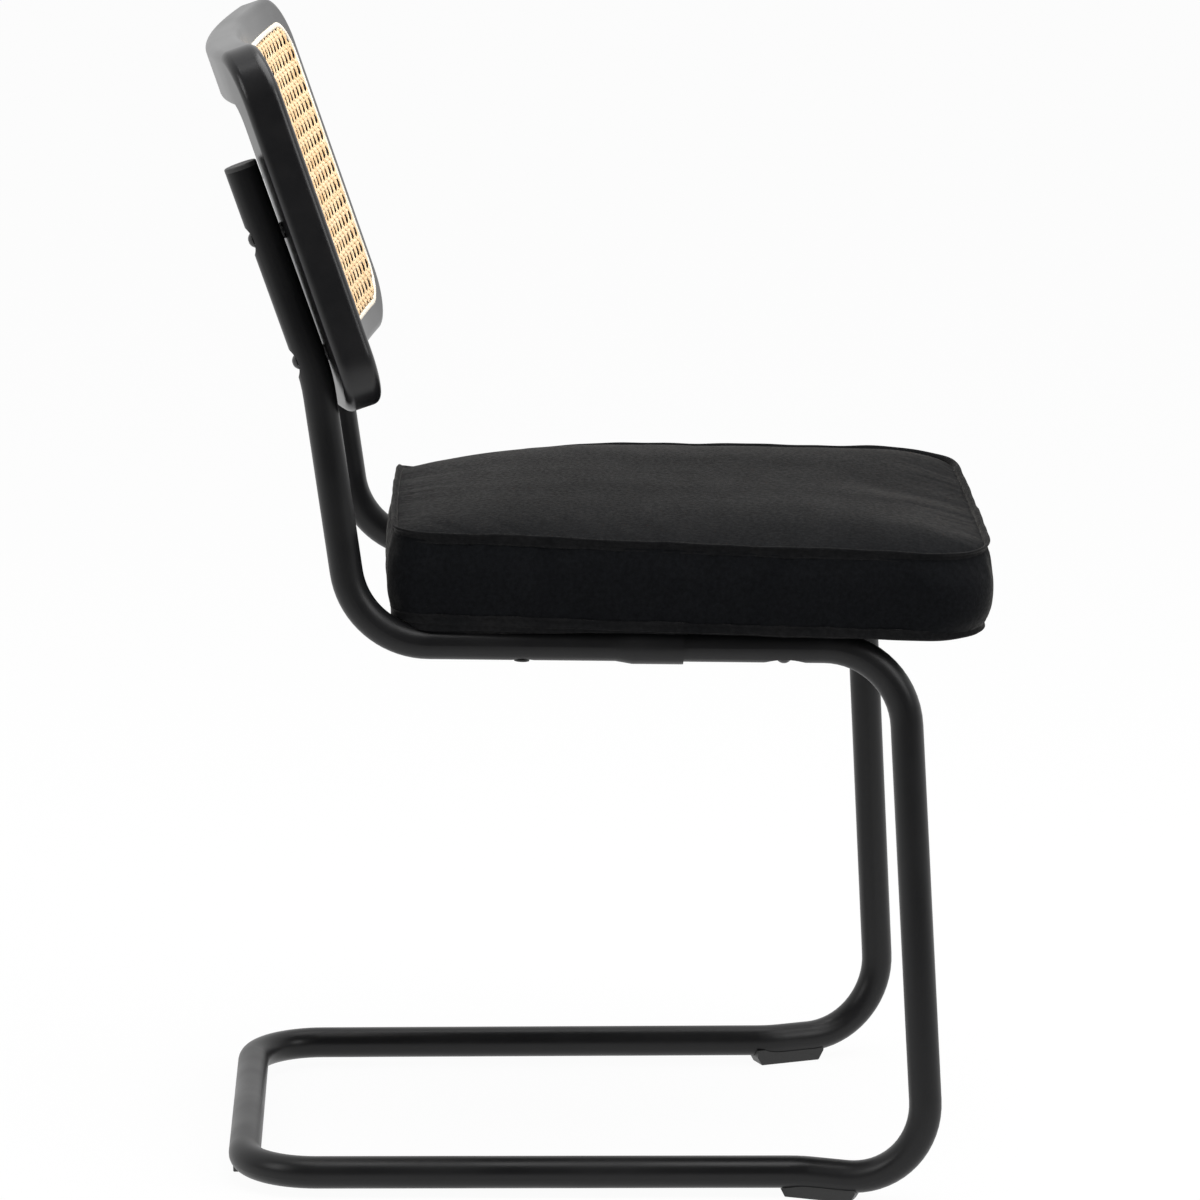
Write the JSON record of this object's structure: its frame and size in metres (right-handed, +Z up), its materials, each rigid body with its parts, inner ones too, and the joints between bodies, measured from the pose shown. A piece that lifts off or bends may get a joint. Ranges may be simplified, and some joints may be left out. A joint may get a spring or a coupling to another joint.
{
  "type": "cantilever dining chair",
  "caption": "Cantilever dining chair: bent black tube frame, thick black velvet box seat, and a curved black wood back filled with natural woven cane.",
  "frame": {"origin": "on the floor under the middle of the chair's outer box", "axes": "+Z up; the sitter faces -Y, so the backrest is at +Y; X runs across, and the sitter's right hand is at -X"},
  "size_m": [0.468, 0.5853, 0.8519],
  "materials": {
    "frame_steel": "satin black powder coat",
    "cap_plastic": "fine moulded grain, black",
    "glide_plastic": "plain moulded, black",
    "back_wood": "black lacquer, satin",
    "dowel_wood": "raw beech",
    "reed_spline": "peeled reed, pale cream",
    "woven_cane": "natural woven cane",
    "black_bolts": "black oxide",
    "washer_plastic": "plain black",
    "insert_brass": "turned",
    "plywood": "raw plywood",
    "foam": "open-cell seat foam",
    "velvet_side": "short-pile black velvet",
    "velvet_top": "short-pile black velvet",
    "velvet_piping": "velvet-covered welt",
    "dust_cloth": "non-woven black cloth",
    "zinc_steel": "zinc plated",
    "spacer_rubber": "matt black"
  },
  "bodies": {
    "root": {"lower_frame": "frame_steel", "side_tube_left": "frame_steel", "side_tube_right": "frame_steel", "end_cap_left": "cap_plastic", "end_cap_right": "cap_plastic", "front_glide_left": "glide_plastic", "front_glide_right": "glide_plastic", "rear_glide_left": "glide_plastic", "rear_glide_right": "glide_plastic", "back_bottom_rail": "back_wood", "back_top_rail": "back_wood", "back_stile_left": "back_wood", "back_stile_right": "back_wood", "back_dowels": "dowel_wood", "back_spline": "reed_spline", "back_cane_panel": "woven_cane", "back_bolts": "black_bolts", "back_washers": "washer_plastic", "back_inserts": "insert_brass", "seat_board": "plywood", "seat_foam": "foam", "seat_side_band": "velvet_side", "seat_top_panel": "velvet_top", "seat_top_piping": "velvet_piping", "seat_bottom_piping": "velvet_piping", "seat_dust_cover": "dust_cloth", "seat_tee_nuts": "zinc_steel", "seat_front_bolts": "black_bolts", "seat_rear_bolts": "black_bolts", "seat_front_washers": "washer_plastic", "seat_rear_spacers": "spacer_rubber"}
  },
  "joints": []
}
